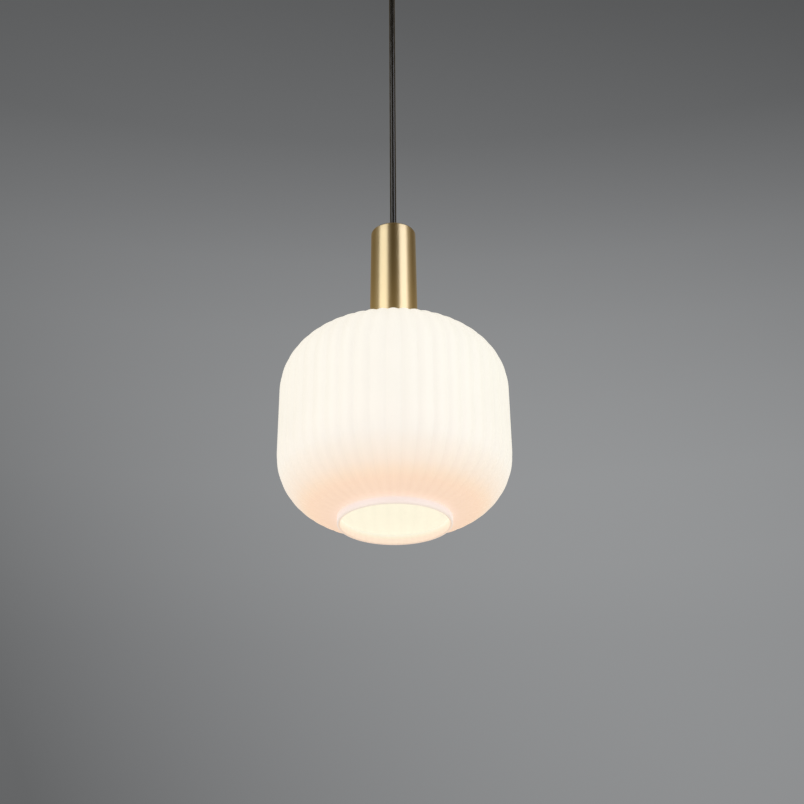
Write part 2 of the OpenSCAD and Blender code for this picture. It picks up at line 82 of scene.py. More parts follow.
def add_camera():
    """Low in front of the light and pitched up at it."""
    data = bpy.data.cameras.new("camera")
    data.sensor_width = 36
    data.lens = CAMERA_LENS
    data.clip_start = 0.05
    data.clip_end = 200
    camera = bpy.data.objects.new("camera", data)
    camera.location = (
        CAMERA_ASIDE,
        -CAMERA_DISTANCE * math.cos(CAMERA_PITCH),
        MOUTH_Z + AIM_ABOVE_MOUTH - CAMERA_DISTANCE * math.sin(CAMERA_PITCH),
    )
    camera.rotation_mode = "ZYX"
    camera.rotation_euler = (math.pi / 2 + CAMERA_PITCH, 0, CAMERA_ROLL)
    bpy.context.scene.collection.objects.link(camera)
    bpy.context.scene.camera = camera


add_camera()


# ---- Node helpers ----

def add_node(tree, kind, inputs=None, **settings):
    """Adds a node; an input that is a socket is linked, and any other is set."""
    made = tree.nodes.new(kind)
    for key, value in settings.items():
        setattr(made, key, value)
    for key, value in (inputs or {}).items():
        if isinstance(value, bpy.types.NodeSocket):
            tree.links.new(value, made.inputs[key])
        else:
            made.inputs[key].default_value = value
    return made


def calculate(tree, operation, a, b=0.0):
    return add_node(tree, "ShaderNodeMath", {0: a, 1: b}, operation=operation).outputs[0]


def between(tree, value, low, high, to_low, to_high):
    """Maps low..high on to to_low..to_high, and holds the ends."""
    inputs = {"Value": value, "From Min": low, "From Max": high, "To Min": to_low, "To Max": to_high}
    return add_node(tree, "ShaderNodeMapRange", inputs).outputs[0]


def ramp(tree, value, stops):
    """A colour ramp from (place, colour) stops."""
    made = add_node(tree, "ShaderNodeValToRGB", {0: value})
    band = made.color_ramp
    while len(band.elements) < len(stops):
        band.elements.new(1)
    for element, (place, colour) in zip(band.elements, stops):
        element.position = place
        element.color = (*colour, 1)
    return made.outputs[0]


def noise(tree, vector, scale, detail=3.0, roughness=0.5):
    """A cloudy pattern from about 0.3 to 0.7."""
    inputs = {"Vector": vector, "Scale": scale, "Detail": detail, "Roughness": roughness}
    return add_node(tree, "ShaderNodeTexNoise", inputs).outputs[0]


def tinted(tree, colour, factor):
    """The colour times a grey factor."""
    made = add_node(tree, "ShaderNodeVectorMath", {0: colour, 1: factor}, operation="MULTIPLY")
    return made.outputs[0]


def new_look(name, **constants):
    """An empty Principled material. Constants go straight on the shader's own sockets."""
    material = bpy.data.materials.new(name)
    material.use_nodes = True
    tree = material.node_tree
    shader = tree.nodes["Principled BSDF"]
    for key, value in constants.items():
        shader.inputs[key.replace("_", " ")].default_value = value
    place = tree.nodes.new("ShaderNodeTexCoord").outputs["Object"]
    return material, tree, shader, place


def add_bump(tree, shader, height, depth, strength):
    made = add_node(tree, "ShaderNodeBump", {"Height": height, "Distance": depth, "Strength": strength})
    tree.links.new(made.outputs[0], shader.inputs["Normal"])


def round_coordinates(tree, place, around, along):
    """Coordinates that change slowly round the Z axis and quickly along it and outwards."""
    x, y, z = add_node(tree, "ShaderNodeSeparateXYZ", {0: place}).outputs[:3]
    flat = add_node(tree, "ShaderNodeCombineXYZ", {0: x, 1: y}).outputs[0]
    length = add_node(tree, "ShaderNodeVectorMath", {0: flat}, operation="LENGTH").outputs["Value"]
    unit = add_node(tree, "ShaderNodeVectorMath", {0: flat}, operation="NORMALIZE").outputs[0]
    turned = add_node(tree, "ShaderNodeVectorMath", {0: unit, "Scale": around}, operation="SCALE").outputs[0]
    reach = calculate(tree, "MULTIPLY", calculate(tree, "ADD", z, length), along)
    lift = add_node(tree, "ShaderNodeCombineXYZ", {2: reach}).outputs[0]
    return add_node(tree, "ShaderNodeVectorMath", {0: turned, 1: lift}, operation="ADD").outputs[0]


# ---- Materials ----

def metal_look(name, colour, roughness, turned=True, dull=0.05, uneven=0.035, cut=0.004):
    """Metal with fine marks, uneven lustre and faint dull patches. Turned metal has its marks
    round the Z axis, and cut is their depth in millimetres."""
    constants = {"Anisotropic": 0.35, "Anisotropic_Rotation": 0.25} if turned else {}
    material, tree, shader, place = new_look(name, Metallic=1.0, **constants)
    marks_place = round_coordinates(tree, place, 3, 9000) if turned else place
    marks = noise(tree, marks_place, 1.0 if turned else 1800, 4, 0.65)
    patches = noise(tree, place, 38, 3, 0.55)
    haze = between(tree, patches, 0.35, 0.75, 1 - dull, 1)
    tone = calculate(tree, "MULTIPLY", haze, between(tree, marks, 0.3, 0.7, 0.965, 1.02))
    tree.links.new(tinted(tree, colour, tone), shader.inputs["Base Color"])
    lustre = calculate(tree, "ADD", between(tree, marks, 0.25, 0.75, -uneven, uneven),
                       between(tree, patches, 0.35, 0.75, roughness + uneven, roughness - uneven / 2))
    tree.links.new(lustre, shader.inputs["Roughness"])
    add_bump(tree, shader, marks, cut * MM, 0.6)
    return material


def tube_look_with_painted_glow():
    """Satin drawn brass with painted light: an emission ramp by height stands in for the light of the glass
    under the tube, brightest at its foot.
    """
    material = metal_look("look_satin_brass_painted_glow", (0.93, 0.775, 0.485), 0.29, dull=0.01, uneven=0.008, cut=0.0012)
    tree = material.node_tree
    place = tree.nodes["Texture Coordinate"].outputs["Object"]
    z = add_node(tree, "ShaderNodeSeparateXYZ", {0: place}).outputs[2]
    height = between(tree, z, tube_low.z, tube_high.z, 0, 1)
    # Painted light: emission on the brass, warm and strongest at the foot, fading out by eight tenths of the
    # way up
    glow = ramp(tree, height, [(0.0, (0.120, 0.078, 0.024)), (0.2, (0.072, 0.046, 0.014)),
                               (0.5, (0.020, 0.012, 0.003)), (0.8, (0.0, 0.0, 0.0))])
    shader = tree.nodes["Principled BSDF"]
    shader.inputs["Emission Strength"].default_value = 1.0
    tree.links.new(glow, shader.inputs["Emission Color"])
    return material


def moulded_look(name, colour, roughness, grain=0.02, speckle=2600, coat=0.0):
    """Moulded plastic, rubber or glaze: faint clouding, fine texture and uneven gloss. The
    texture is speckle fine and grain millimetres deep."""
    material, tree, shader, place = new_look(name, Coat_Weight=coat, Coat_Roughness=0.12)
    fine = noise(tree, place, speckle, 2, 0.6)
    cloud = noise(tree, place, 55, 3, 0.5)
    tone = calculate(tree, "MULTIPLY", between(tree, fine, 0.3, 0.7, 0.94, 1.05),
                     between(tree, cloud, 0.35, 0.7, 0.95, 1.04))
    tree.links.new(tinted(tree, colour, tone), shader.inputs["Base Color"])
    gloss = calculate(tree, "ADD", between(tree, fine, 0.3, 0.7, -0.03, 0.03),
                      between(tree, cloud, 0.35, 0.7, roughness + 0.05, roughness - 0.05))
    tree.links.new(gloss, shader.inputs["Roughness"])
    add_bump(tree, shader, fine, grain * MM, 0.5)
    return material


def flex_look():
    """Black PVC sheath: satin, with drawn-out marks along its length."""
    material, tree, shader, place = new_look("look_flex", Specular_IOR_Level=0.78)
    stretch = add_node(tree, "ShaderNodeMapping", {"Vector": place, "Scale": (2200, 2200, 45)}).outputs[0]
    drawn = noise(tree, stretch, 1.0, 3, 0.6)
    fine = noise(tree, place, 2400, 2, 0.5)
    dust = noise(tree, place, 160, 4, 0.6)
    tone = calculate(tree, "ADD", between(tree, drawn, 0.3, 0.7, 0.8, 1.15),
                     between(tree, dust, 0.6, 0.8, 0.0, 0.5))
    tree.links.new(tinted(tree, (0.006, 0.006, 0.0065), tone), shader.inputs["Base Color"])
    tree.links.new(between(tree, drawn, 0.3, 0.7, 0.13, 0.18), shader.inputs["Roughness"])
    add_bump(tree, shader, calculate(tree, "ADD", drawn, calculate(tree, "MULTIPLY", fine, 0.5)),
             0.02 * MM, 0.5)
    return material


RIBS = 48

# Light that comes through the glass, by height: 0 at the mouth, 1 at the top
OUTSIDE_GLOW = [
    (0.000, (0.700, 0.510, 0.440)),
    (0.030, (0.700, 0.510, 0.440)),
    (0.041, (0.772, 0.524, 0.370)),
    (0.075, (0.782, 0.527, 0.362)),
    (0.095, (0.772, 0.556, 0.392)),
    (0.130, (0.750, 0.600, 0.475)),
    (0.170, (0.740, 0.630, 0.525)),
    (0.250, (0.725, 0.665, 0.590)),
    (0.420, (0.715, 0.670, 0.590)),
    (0.700, (0.710, 0.670, 0.590)),
    (1.000, (0.710, 0.665, 0.580)),
]
INSIDE_GLOW = [
    (0.000, (0.690, 0.490, 0.360)),
    (0.022, (0.655, 0.495, 0.380)),
    (0.032, (0.645, 0.550, 0.410)),
    (0.042, (0.640, 0.600, 0.480)),
    (0.052, (0.610, 0.620, 0.500)),
    (0.100, (0.540, 0.510, 0.415)),
    (1.000, (0.530, 0.506, 0.415)),
]
COLLAR_GLOW = [
    (0.000, (0.675, 0.555, 0.470)),
    (0.010, (0.655, 0.550, 0.510)),
    (0.026, (0.650, 0.530, 0.495)),
    (0.036, (0.660, 0.500, 0.405)),
]


def opal_look(name, glow, rib_share):
    """Lit opal glass with a satin etched face; rib_share is how much darker the grooves are."""
    material, tree, shader, place = new_look(name, Emission_Strength=1.0)
    x, y, z = add_node(tree, "ShaderNodeSeparateXYZ", {0: place}).outputs[:3]
    height = between(tree, z, MOUTH_Z, SHADE_TOP, 0, 1)
    colour = ramp(tree, height, glow)
    turn = calculate(tree, "ARCTAN2", y, x)
    wave = calculate(tree, "COSINE", calculate(tree, "MULTIPLY", turn, RIBS))
    cloud = noise(tree, place, 26, 3, 0.5)
    shading = calculate(tree, "MULTIPLY", between(tree, wave, -1, 1, 1 - rib_share, 1),
                        between(tree, cloud, 0.35, 0.7, 0.992, 1.006))
    tree.links.new(tinted(tree, colour, shading), shader.inputs["Emission Color"])
    fine = noise(tree, place, 1500, 3, 0.6)
    body = between(tree, cloud, 0.3, 0.7, 0.97, 1.0)
    tree.links.new(tinted(tree, (0.46, 0.45, 0.43), body), shader.inputs["Base Color"])
    tree.links.new(between(tree, fine, 0.3, 0.7, 0.42, 0.52), shader.inputs["Roughness"])
    add_bump(tree, shader, fine, 0.015 * MM, 0.4)
    return material


def diffuser_look():
    """The lit plastic globe of the bulb, a little dimmer towards its rim."""
    material, tree, shader, place = new_look("look_bulb_globe", Emission_Strength=1.6)
    z = add_node(tree, "ShaderNodeSeparateXYZ", {0: place}).outputs[2]
    low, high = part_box("bulb_globe")
    height = between(tree, z, low.z, high.z, 0, 1)
    colour = ramp(tree, height, [
        (0.0, (1.0, 0.92, 0.72)), (0.7, (0.95, 0.86, 0.66)), (1.0, (0.7, 0.62, 0.46)),
    ])
    fine = noise(tree, place, 1800, 3, 0.6)
    lit = tinted(tree, colour, between(tree, fine, 0.3, 0.7, 0.985, 1.01))
    body = tinted(tree, (0.6, 0.58, 0.54), between(tree, fine, 0.3, 0.7, 0.97, 1.0))
    tree.links.new(lit, shader.inputs["Emission Color"])
    tree.links.new(body, shader.inputs["Base Color"])
    tree.links.new(between(tree, fine, 0.3, 0.7, 0.34, 0.44), shader.inputs["Roughness"])
    return material


def core_look(name, colour, stripe=None):
    """PVC core insulation; the earth core has a second colour in a long spiral."""
    material, tree, shader, place = new_look(name)
    fine = noise(tree, place, 2600, 2, 0.5)
    tone = between(tree, fine, 0.3, 0.7, 0.93, 1.05)
    shade = tinted(tree, colour, tone)
    if stripe:
        wave = add_node(tree, "ShaderNodeTexWave", {"Vector": place, "Scale": 260.0, "Distortion": 0.6},
                        wave_type="BANDS", bands_direction="DIAGONAL").outputs[1]
        share = between(tree, wave, 0.45, 0.55, 0, 1)
        mix = {"Factor": share, "A": shade, "B": tinted(tree, stripe, tone)}
        shade = add_node(tree, "ShaderNodeMix", mix, data_type="RGBA").outputs["Result"]
    tree.links.new(shade, shader.inputs["Base Color"])
    tree.links.new(between(tree, fine, 0.3, 0.7, 0.36, 0.48), shader.inputs["Roughness"])
    add_bump(tree, shader, fine, 0.01 * MM, 0.4)
    return material


LOOKS = {
    "brass": metal_look("look_brass", (0.92, 0.765, 0.47), 0.25, dull=0.03),
    "zinc_steel": metal_look("look_zinc_steel", (0.60, 0.61, 0.63), 0.34, turned=False, dull=0.2),
    "copper_spring": metal_look("look_copper_spring", (0.78, 0.46, 0.27), 0.3, turned=False, dull=0.15),
    "nickel": metal_look("look_nickel", (0.74, 0.73, 0.71), 0.24),
    "aluminium": metal_look("look_aluminium", (0.78, 0.79, 0.8), 0.38, turned=False, dull=0.1),
    "solder": metal_look("look_solder", (0.58, 0.58, 0.59), 0.42, turned=False, dull=0.25),
    "black_sheath": flex_look(),
    "black_nylon": moulded_look("look_black_nylon", (0.016, 0.016, 0.018), 0.42),
    "white_nylon": moulded_look("look_white_nylon", (0.74, 0.72, 0.66), 0.45),
    "black_bakelite": moulded_look("look_black_bakelite", (0.014, 0.013, 0.013), 0.24,
                                   grain=0.008, speckle=900, coat=0.3),
    "porcelain": moulded_look("look_porcelain", (0.82, 0.80, 0.76), 0.2,
                              grain=0.006, speckle=700, coat=0.6),
    "clear_silicone": moulded_look("look_clear_silicone", (0.72, 0.72, 0.69), 0.36),
    "ivory_plastic": moulded_look("look_ivory_plastic", (0.78, 0.75, 0.68), 0.4),
    "black_glass": moulded_look("look_black_glass", (0.01, 0.01, 0.013), 0.12,
                                grain=0.003, speckle=500, coat=0.5),
    "white_plastic": moulded_look("look_white_plastic", (0.80, 0.80, 0.77), 0.42),
    "phosphor": moulded_look("look_phosphor", (0.86, 0.66, 0.14), 0.4, grain=0.01, speckle=5000),
    "circuit_board": moulded_look("look_circuit_board", (0.03, 0.19, 0.07), 0.35, speckle=3500, coat=0.3),
    "brown_core": core_look("look_brown_core", (0.13, 0.055, 0.025)),
    "blue_core": core_look("look_blue_core", (0.03, 0.12, 0.42)),
    "green_yellow_core": core_look("look_green_yellow_core", (0.09, 0.33, 0.05), stripe=(0.72, 0.62, 0.05)),
}
TUBE_BRASS_WITH_PAINTED_GLOW = tube_look_with_painted_glow()
OPAL_OUTSIDE = opal_look("look_opal_outside", OUTSIDE_GLOW, rib_share=0.035)
OPAL_INSIDE = opal_look("look_opal_inside", INSIDE_GLOW, rib_share=0.03)
OPAL_COLLAR = opal_look("look_opal_collar", COLLAR_GLOW, rib_share=0.0)
BULB_GLOBE = diffuser_look()


def dress_cad_nodes():
    """Gives every CAD node the look of its own material slot."""
    lit = {"opal_glass": OPAL_OUTSIDE, "bulb_diffuser": BULB_GLOBE}
    for part in frame["record"]["subparts"]:
        slot = part["material_slot"]
        materials = nodes[part["node"]].data.materials
        materials.clear()
        materials.append(lit.get(slot) or LOOKS[slot])


dress_cad_nodes()


# ---- Mesh helpers ----

def tidy_mesh(mesh):
    """Welds the mesh, turns its normals outwards and smooths it apart from its sharp edges."""
    form = bmesh.new()
    form.from_mesh(mesh)
    bmesh.ops.remove_doubles(form, verts=form.verts, dist=0.0005 * MM)
    bmesh.ops.recalc_face_normals(form, faces=form.faces)
    for edge in form.edges:
        edge.smooth = len(edge.link_faces) == 2 and edge.calc_face_angle(0) < SHARP_ANGLE
    for face in form.faces:
        face.smooth = True
    form.to_mesh(mesh)
    form.free()


def add_piece(name, points, faces, materials, face_material=None):
    """A piece in the scene; face_material is the material number of each face."""
    mesh = bpy.data.meshes.new(name)
    mesh.from_pydata([tuple(p) for p in points], [], faces)
    for material in materials:
        mesh.materials.append(material)
    if face_material is not None:
        mesh.polygons.foreach_set("material_index", face_material)
    tidy_mesh(mesh)
    piece = bpy.data.objects.new(name, mesh)
    bpy.context.scene.collection.objects.link(piece)
    return piece


def prism(profile, middle, direction, length):
    """A closed solid: a flat outline swept along direction, with its middle at middle. The
    outline is in X and Z for a sweep along Y, and in Y and Z for one along X."""
    w = Vector(direction)
    u = w.cross(Vector((0, 0, 1)) if w.z == 0 else Vector((0, 1, 0)))
    v = u.cross(w)
    count = len(profile)
    points = [Vector(middle) + u * float(a) + v * float(b) + w * side * length / 2
              for side in (-1, 1) for a, b in profile]
    faces = [tuple(range(count)), tuple(range(count, 2 * count))]
    faces += [(i, (i + 1) % count, count + (i + 1) % count, count + i) for i in range(count)]
    return add_piece("cutter", points, faces, [])


def rod(middle, direction, radius, length, sides=48):
    """A round cutter."""
    angles = [TURN * i / sides for i in range(sides)]
    return prism([(radius * math.cos(a), radius * math.sin(a)) for a in angles], middle, direction, length)


def block(middle, size):
    """A square-cornered cutter."""
    x, y = size[0] / 2, size[1] / 2
    return prism([(-x, -y), (x, -y), (x, y), (-x, y)], middle, (0, 0, 1), size[2])


def apply_modifiers(piece):
    """Turns the piece's modifiers into mesh."""
    graph = bpy.context.evaluated_depsgraph_get()
    mesh = bpy.data.meshes.new_from_object(piece.evaluated_get(graph))
    piece.modifiers.clear()
    piece.data = mesh
    tidy_mesh(mesh)


def cut_out(piece, *cutters):
    """Takes the cutters' shapes out of the piece."""
    for cutter in cutters:
        modifier = piece.modifiers.new("cut", "BOOLEAN")
        modifier.operation = "DIFFERENCE"
        modifier.solver = "EXACT"
        modifier.object = cutter
    apply_modifiers(piece)
    for cutter in cutters:
        bpy.data.objects.remove(cutter)


def soften(piece, width):
    """Rounds the sharp edges."""
    modifier = piece.modifiers.new("soften", "BEVEL")
    modifier.width = width
    modifier.segments = 2
    modifier.limit_method = "ANGLE"
    modifier.angle_limit = SHARP_ANGLE
    apply_modifiers(piece)
    piece.modifiers.new("even", "WEIGHTED_NORMAL").keep_sharp = True


def joined(name, pieces):
    """One piece from several."""
    form = bmesh.new()
    for piece in pieces:
        form.from_mesh(piece.data)
    mesh = bpy.data.meshes.new(name)
    form.to_mesh(mesh)
    form.free()
    for material in pieces[0].data.materials:
        mesh.materials.append(material)
    for piece in pieces:
        bpy.data.objects.remove(piece)
    tidy_mesh(mesh)
    whole = bpy.data.objects.new(name, mesh)
    bpy.context.scene.collection.objects.link(whole)
    return whole


def rounded(corners, steps=5):
    """An outline from (radius, height, rounding) corners, each rounded by a short curve."""
    outline = []
    count = len(corners)
    for i, (r, z, rounding) in enumerate(corners):
        here = np.array([r, z])
        if rounding <= 0:
            outline.append(here)
            continue
        before = np.array(corners[i - 1][:2]) - here
        after = np.array(corners[(i + 1) % count][:2]) - here
        start = here + before / np.linalg.norm(before) * rounding
        end = here + after / np.linalg.norm(after) * rounding
        for t in np.linspace(0, 1, steps):
            outline.append((1 - t) ** 2 * start + 2 * t * (1 - t) * here + t * t * end)
    return np.array(outline)


def refined(outline, step):
    """The closed outline with no stretch longer than step."""
    points = []
    for a, b in zip(outline, np.roll(outline, -1, axis=0)):
        parts = max(1, math.ceil(np.linalg.norm(b - a) / step))
        points += [a + (b - a) * i / parts for i in range(parts)]
    return np.array(points)


def outward_normals(outline):
    """The direction out of the closed outline at each of its points."""
    ahead = np.roll(outline, -1, axis=0) - np.roll(outline, 1, axis=0)
    lengths = np.maximum(np.linalg.norm(ahead, axis=1, keepdims=True), 1e-9)
    normals = np.stack([ahead[:, 1], -ahead[:, 0]], axis=1) / lengths
    r, z = outline[:, 0], outline[:, 1]
    area = np.sum(r * np.roll(z, -1) - np.roll(r, -1) * z)
    return normals if area > 0 else -normals


def revolved(name, outline, materials, segments=96, relief=None, stretch_material=None, radial=False):
    """Turns a closed outline about the Z axis. relief(r, z, angle) is how far the surface
    stands out there, or how far it moves from the axis if radial is true, and
    stretch_material is the material number of each outline stretch."""
    outline = np.asarray(outline, float)
    normals = outward_normals(outline)
    angles = np.arange(segments) / segments * TURN
    r = np.repeat(outline[None, :, 0], segments, axis=0)
    z = np.repeat(outline[None, :, 1], segments, axis=0)
    if relief:
        out = relief(r, z, angles[:, None])
        r, z = (r + out, z) if radial else (r + out * normals[None, :, 0], z + out * normals[None, :, 1])
    r = np.maximum(r, 0)
    points = np.stack([r * np.cos(angles)[:, None], r * np.sin(angles)[:, None], z], axis=-1).reshape(-1, 3)
    count = len(outline)
    faces = []
    numbers = []
    for j in range(segments):
        here, there = j * count, (j + 1) % segments * count
        for i in range(count):
            k = (i + 1) % count
            faces.append((here + i, here + k, there + k, there + i))
            numbers.append(stretch_material[i] if stretch_material is not None else 0)
    return add_piece(name, points, faces, materials, numbers)


def smooth_step(value, low, high):
    """0 up to low, 1 from high on, and a smooth rise between."""
    t = np.clip((value - low) / (high - low), 0, 1)
    return t * t * (3 - 2 * t)


def thread_wave(z, angle, pitch):
    """A rounded right-hand thread: 0 in the root and 1 on the crest."""
    return 0.5 + 0.5 * np.cos(TURN * z / pitch - angle)


def band(value, low, high, edge):
    """1 between low and high, falling to 0 over edge outside them."""
    return smooth_step(value, low - edge, low) * (1 - smooth_step(value, high, high + edge))


def settle(piece, body, slot, *replaced):
    """The piece rides on its body and stands for the CAD nodes, which it hides. The slot is not used."""
    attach(piece, body)
    if replaced:
        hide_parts(*replaced)
    return piece


# ---- The flex ----

CABLE_DIAMETER = 2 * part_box("lamp_cable")[1].x
# The flex hangs straight: its pivot in the grip, the end of its neck, and on down to the bush
CABLE_HEIGHTS = [
    -0.036, -0.048, -0.060, -0.080, -0.100, -0.120, -0.140, -0.160, -0.180, -0.200, -0.220,
    -0.240, -0.260, -0.280, -0.300, -0.320, -0.340, -0.360, -0.380, -0.400, -0.420,
]
FLEX_ABOVE_PIVOT = 1.5 * MM
FLEX_INTO_BUSH = 0.5 * MM
CORES = 3
CORE_LAY = 65 * MM
CORE_SHOW = 0.03 * MM


def make_cable():
    """Round flex: its three cores' long twist shows faintly through the sheath."""
    top, foot = CABLE_HEIGHTS[0] + FLEX_ABOVE_PIVOT, CABLE_HEIGHTS[-1] - FLEX_INTO_BUSH
    rings = 260
    sides = 32
    points = []
    for i in range(rings):
        z = top + (foot - top) * i / (rings - 1)
        for k in range(sides):
            angle = TURN * k / sides
            r = CABLE_DIAMETER / 2 + CORE_SHOW * (math.cos(CORES * (angle - TURN * z / CORE_LAY)) - 1)
            points.append((r * math.cos(angle), r * math.sin(angle), z))
    faces = [tuple(range(sides)), tuple(range((rings - 1) * sides, rings * sides))]
    for i in range(rings - 1):
        for k in range(sides):
            a, b = i * sides + k, i * sides + (k + 1) % sides
            faces.append((a, b, b + sides, a + sides))
    piece = add_piece("flex", points, faces, [LOOKS["black_sheath"]])
    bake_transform(piece)
    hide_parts("cable_neck", "cable")


make_cable()


# ---- The glass ----

GLASS = 3.2 * MM
MOUTH_R = 58 * MM
COLLAR_H = 7.5 * MM
# Heights above the mouth where the nearly straight side begins and ends, and its lean
SIDE_LOW = 74 * MM
SIDE_HIGH = 143.5 * MM
SIDE_TAPER = 0.5 * MM
# The curves under and over the side: where each is centred, and how square it is (2 is round)
FOOT_R = 50 * MM
SEAT_R = 27 * MM
LOW_BEND = 2.04
TOP_BEND = 2.14
HOLE_R = 20.7 * MM
CLAMP_GAP = 0.02 * MM
RIB_DEPTH = 1.5 * MM
RIB_SOFTNESS = 0.16
# The ribs fade in between these radii, and get deeper with the radius beyond
RIBS_NEAR_MOUTH = (63 * MM, 86 * MM)
RIBS_NEAR_SEAT = (27 * MM, 42 * MM)
RIB_SHARE_AT_AXIS = 0.45
# The inside bulges in behind each groove, more softly
INSIDE_SHARE = -0.35
POINTS_PER_RIB = 14


def bend(foot, span, power, a0, a1, steps):
    """A quarter of a rounded square about foot, from angle a0 to a1."""
    t = np.linspace(a0, a1, steps)
    return np.stack([foot[0] + span[0] * np.maximum(np.cos(t), 0) ** (2 / power),
                     foot[1] + span[1] * np.maximum(np.sin(t), 0) ** (2 / power)], axis=1)


def glass_side(inset, steps):
    """One face of the glass from the mouth's collar up to the seat, inset from the outside."""
    widest = shade_high.x
    low_span = (widest - FOOT_R - inset, -(SIDE_LOW - COLLAR_H - inset))
    top_span = (widest - SIDE_TAPER - inset - SEAT_R, SHADE_TOP - MOUTH_Z - SIDE_HIGH - inset)
    mouth_angle = math.acos(((MOUTH_R - inset - FOOT_R) / low_span[0]) ** (LOW_BEND / 2))
    low = bend((FOOT_R, MOUTH_Z + SIDE_LOW), low_span, LOW_BEND, mouth_angle, 0, steps)
    top = bend((SEAT_R, MOUTH_Z + SIDE_HIGH), top_span, TOP_BEND, 0, math.pi / 2, steps)
    return np.concatenate([low, top])


def make_shade():
    """Ribbed outside, softly ribbed inside, plain rounded collar, flat seat with a hole.
    A hair's gap keeps its clamped faces clear of the gaskets when the lamp swings."""
    outer, inner, collar = 0, 1, 2
    steps = 44
    lip = GLASS / 2
    turn = np.linspace(math.pi, 0, 11)
    lip_arc = np.stack([MOUTH_R - lip - lip * np.cos(turn), MOUTH_Z + lip - lip * np.sin(turn)], axis=1)
    inside = glass_side(GLASS - CLAMP_GAP, steps)
    outside = glass_side(CLAMP_GAP, steps)[::-1]
    hole = np.array([[HOLE_R, inside[-1, 1]], [HOLE_R, outside[0, 1]]])
    middle = len(lip_arc) // 2
    # The collar is the straight stretch from the outside's last point down to the lip
    stretches = [
        (lip_arc[:middle], collar), (lip_arc[middle:], inner), (inside, inner), (hole, inner),
        (outside[:-1], outer), (outside[-1:], collar),
    ]
    outline = np.concatenate([points for points, _ in stretches])
    numbers = np.concatenate([np.full(len(points), number) for points, number in stretches])

    def relief(r, z, angle):
        groove = np.sqrt(np.cos(RIBS / 2 * angle) ** 2 + RIB_SOFTNESS ** 2) - math.hypot(1, RIB_SOFTNESS)
        from_mouth = np.where(z < MOUTH_Z + SIDE_LOW, smooth_step(r, *RIBS_NEAR_MOUTH), 1)
        from_seat = np.where(z > MOUTH_Z + SIDE_HIGH, smooth_step(r, *RIBS_NEAR_SEAT), 1)
        outwards = RIB_SHARE_AT_AXIS + (1 - RIB_SHARE_AT_AXIS) * r / shade_high.x
        share = from_mouth * from_seat * outwards * np.where(numbers == inner, INSIDE_SHARE, 1)
        return RIB_DEPTH * groove * share

    piece = revolved("ribbed_shade", outline, [OPAL_OUTSIDE, OPAL_INSIDE, OPAL_COLLAR],
                     segments=RIBS * POINTS_PER_RIB, relief=relief, stretch_material=numbers)
    settle(piece, "shade", "opal_glass", "shade_glass")


make_shade()


# ---- Brass tube and what shows on top of it ----

TUBE_TAPER = 1.3 * MM
ROD_HOLE = 5.05 * MM


def make_tube():
    """Thin drawn tube, a little wider at its foot, with a closed top and softly rounded rim."""
    foot_r = tube_high.x
    top_r = foot_r - TUBE_TAPER
    wall = 1.0 * MM
    roof = 1.5 * MM
    top, low = tube_high.z, tube_low.z
    outline = rounded([
        (foot_r - wall, low, 0.3 * MM), (foot_r, low, 0.35 * MM), (top_r, top, 1.6 * MM),
        (ROD_HOLE, top, 0.2 * MM), (ROD_HOLE, top - roof, 0), (top_r - wall, top - roof, 0.3 * MM),
    ], steps=7)
    piece = revolved("brass_tube", refined(outline, 8 * MM), [TUBE_BRASS_WITH_PAINTED_GLOW], segments=256)
    settle(piece, "lamp", "brass", "tube_cover")


def make_collar_nut():
    """Low round nut with a finely knurled edge."""
    low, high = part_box("collar_nut")
    r = high.x
    teeth = 60
    outline = refined(rounded([
        (ROD_HOLE, low.z, 0), (r - 0.15 * MM, low.z, 0.3 * MM), (r - 0.15 * MM, high.z, 0.8 * MM),
        (ROD_HOLE, high.z, 0.3 * MM),
    ]), 0.7 * MM)

    def relief(radius, z, angle):
        edge = smooth_step(radius, r - 0.4 * MM, r - 0.2 * MM)
        middle = band(z, low.z + 0.7 * MM, high.z - 1.1 * MM, 0.3 * MM)
        return 0.14 * MM * np.cos(teeth * angle) * edge * middle

    piece = revolved("knurled_collar_nut", outline, [LOOKS["brass"]], segments=teeth * 6, relief=relief)
    settle(piece, "lamp", "brass", "collar_nut")


def make_bush():
    """Flanged plastic bush that keeps the flex off the metal edge."""
    low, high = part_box("cable_bush")
    flange = high.x
    bore = CABLE_DIAMETER / 2 + 0.1 * MM
    plug = 5.0 * MM
    seat = high.z - 1.0 * MM
    outline = rounded([
        (bore, low.z, 0.1 * MM), (plug, low.z, 0.2 * MM), (plug, seat, 0), (flange, seat, 0.15 * MM),
        (flange, high.z, 0.5 * MM), (bore, high.z, 0.35 * MM),
    ])
    piece = revolved("flex_bush", outline, [LOOKS["black_nylon"]], segments=96)
    settle(piece, "lamp", "black_nylon", "cable_bush")


make_tube()
make_collar_nut()
make_bush()


# ---- Ceiling side ----

SIDE_SCREW_Z = -10 * MM
SLOT_SPACING = 52 * MM
M3_HOLE = 1.55 * MM
M4_HOLE = 2.05 * MM


def make_canopy():
    """Spun brass cup, open at the top, with two open notches that slip over the side screws."""
    low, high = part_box("canopy")
    r = high.y
    wall = 1.2 * MM
    notch = 4.8 * MM
    outline = refined(rounded([
        (ROD_HOLE, low.z, 0.2 * MM), (r, low.z, 3.4 * MM), (r, high.z, 0.5 * MM),
        (r - wall, high.z, 0.5 * MM), (r - wall, low.z + wall, 2.2 * MM), (ROD_HOLE, low.z + wall, 0.2 * MM),
    ], steps=9), 4 * MM)
    piece = revolved("brass_ceiling_cup", outline, [LOOKS["brass"]], segments=288)
    cutters = []
    for side in (1, -1):
        cutters.append(rod((side * r, 0, SIDE_SCREW_Z), (1, 0, 0), notch / 2, 12 * MM))
        cutters.append(block((side * r, 0, SIDE_SCREW_Z + 10 * MM), (12 * MM, notch, 20 * MM)))
    cut_out(piece, *cutters)
    settle(piece, "ceiling_cup", "brass", "canopy")


